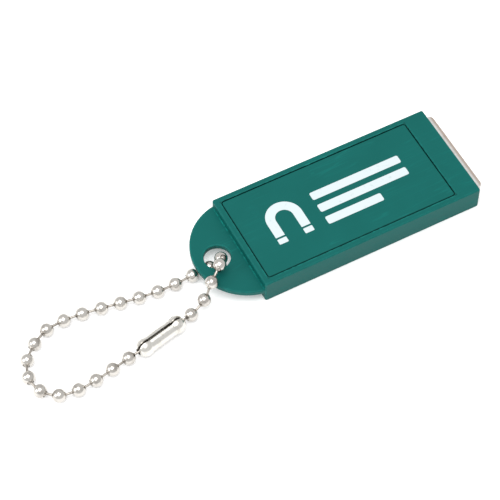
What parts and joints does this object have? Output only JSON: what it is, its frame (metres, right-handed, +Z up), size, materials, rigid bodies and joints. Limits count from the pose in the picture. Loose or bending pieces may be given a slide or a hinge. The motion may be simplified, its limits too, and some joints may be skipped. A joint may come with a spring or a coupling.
{
  "type": "key chain magnet",
  "caption": "Pocket magnet on a ball chain: flat plastic case with steel pole plates at its working end, for pulling small steel parts or magnetic security tag locks.",
  "frame": {"origin": "centre of the case's bottom face, on the surface the part lies on", "axes": "+X out of the working end, +Y across the case, +Z up out of the cover"},
  "size_m": [0.1106, 0.0288, 0.0084],
  "materials": {
    "case_plastic": "satin moulded",
    "cover_plastic": "satin moulded",
    "pole_steel": "zinc plated, rubbed",
    "ferrite": "sintered, ground",
    "bead_plate": "nickel plated",
    "chain_wire": "nickel plated",
    "connector_plate": "nickel plated"
  },
  "bodies": {
    "case": {"case_body": "case_plastic", "cover_plate": "cover_plastic", "pole_plate_upper": "pole_steel", "pole_plate_lower": "pole_steel", "magnet_block": "ferrite"},
    "threaded_links": {"chain_bead_03": "bead_plate", "chain_bead_04": "bead_plate", "chain_bead_05": "bead_plate", "chain_bead_06": "bead_plate", "chain_bead_07": "bead_plate", "chain_bead_08": "bead_plate", "chain_pin_02": "chain_wire", "chain_pin_03": "chain_wire", "chain_pin_04": "chain_wire", "chain_pin_05": "chain_wire", "chain_pin_06": "chain_wire", "chain_pin_07": "chain_wire", "chain_pin_08": "chain_wire"},
    "first_link": {"chain_bead_09": "bead_plate", "chain_pin_09": "chain_wire"},
    "strand_1": {"chain_bead_10": "bead_plate", "chain_bead_11": "bead_plate", "chain_pin_10": "chain_wire", "chain_pin_11": "chain_wire"},
    "strand_2": {"chain_bead_12": "bead_plate", "chain_bead_13": "bead_plate", "chain_pin_12": "chain_wire", "chain_pin_13": "chain_wire"},
    "strand_3": {"chain_bead_14": "bead_plate", "chain_bead_15": "bead_plate", "chain_pin_14": "chain_wire", "chain_pin_15": "chain_wire"},
    "bend_1": {"chain_bead_16": "bead_plate", "chain_bead_17": "bead_plate", "chain_pin_16": "chain_wire", "chain_pin_17": "chain_wire"},
    "bend_2": {"chain_bead_18": "bead_plate", "chain_bead_19": "bead_plate", "chain_pin_18": "chain_wire", "chain_pin_19": "chain_wire"},
    "bend_3": {"chain_bead_20": "bead_plate", "chain_bead_21": "bead_plate", "chain_pin_20": "chain_wire", "chain_pin_21": "chain_wire"},
    "strand_4": {"chain_bead_22": "bead_plate", "chain_bead_23": "bead_plate", "chain_pin_22": "chain_wire", "chain_pin_23": "chain_wire"},
    "strand_5": {"chain_bead_24": "bead_plate", "chain_bead_25": "bead_plate", "chain_pin_24": "chain_wire", "chain_pin_25": "chain_wire"},
    "connector_link": {"chain_connector": "connector_plate", "chain_bead_26": "bead_plate", "chain_bead_01": "bead_plate", "chain_bead_02": "bead_plate", "chain_pin_01": "chain_wire"}
  },
  "joints": [
    {"name": "loop_turn", "type": "hinge", "parent": "case", "child": "threaded_links", "pos_m": [-0.0322, 0, 0.0033], "axis": [0, 0, 1], "range_deg": [-10, 7]},
    {"name": "loop_lift", "type": "hinge", "parent": "threaded_links", "child": "first_link", "pos_m": [-0.0419, -0.00048, 0.0015], "axis": [0.0682, 0.9975, -0.0185], "range_deg": [0, 24]},
    {"name": "chain_sway", "type": "hinge", "parent": "first_link", "child": "strand_1", "pos_m": [-0.04615, -0.00046, 0.0015], "axis": [0, 0, 1], "range_deg": [-7.1, 7.1]},
    {"name": "sway_2", "type": "hinge", "parent": "strand_1", "child": "strand_2", "pos_m": [-0.0546, 0.00058, 0.00151], "axis": [0, 0, 1], "range_deg": [-3.37, 3.37]},
    {"name": "sway_3", "type": "hinge", "parent": "strand_2", "child": "strand_3", "pos_m": [-0.063, 0.00199, 0.0015], "axis": [0, 0, 1], "range_deg": [-3.94, 3.94]},
    {"name": "sway_4", "type": "hinge", "parent": "strand_3", "child": "bend_1", "pos_m": [-0.07149, 0.00218, 0.0015], "axis": [0, 0, 1], "range_deg": [-2.28, 2.28]},
    {"name": "sway_5", "type": "hinge", "parent": "bend_1", "child": "bend_2", "pos_m": [-0.07856, -0.00235, 0.0015], "axis": [0, 0, 1], "range_deg": [-14.3, 14.3]},
    {"name": "sway_6", "type": "hinge", "parent": "bend_2", "child": "bend_3", "pos_m": [-0.08001, -0.01038, 0.0015], "axis": [0, 0, 1], "range_deg": [-1.04, 1.04]},
    {"name": "sway_7", "type": "hinge", "parent": "bend_3", "child": "strand_4", "pos_m": [-0.0732, -0.01459, 0.0015], "axis": [0, 0, 1], "range_deg": [-6.4, 6.4]},
    {"name": "sway_8", "type": "hinge", "parent": "strand_4", "child": "strand_5", "pos_m": [-0.06476, -0.01358, 0.00149], "axis": [0, 0, 1], "range_deg": [-4.57, 4.57]},
    {"name": "sway_9", "type": "hinge", "parent": "strand_5", "child": "connector_link", "pos_m": [-0.05638, -0.01228, 0.00205], "axis": [0, 0, 1], "range_deg": [-3.2, 3.2]}
  ],
  "couplings": [
    {"joint": "sway_2", "follows": "chain_sway", "ratio": 0.4584},
    {"joint": "sway_3", "follows": "chain_sway", "ratio": 0.5369},
    {"joint": "sway_4", "follows": "chain_sway", "ratio": 0.3084},
    {"joint": "sway_5", "follows": "chain_sway", "ratio": -1.967},
    {"joint": "sway_6", "follows": "chain_sway", "ratio": -0.137},
    {"joint": "sway_7", "follows": "chain_sway", "ratio": 0.8772},
    {"joint": "sway_8", "follows": "chain_sway", "ratio": 0.6248},
    {"joint": "sway_9", "follows": "chain_sway", "ratio": 0.4349}
  ]
}
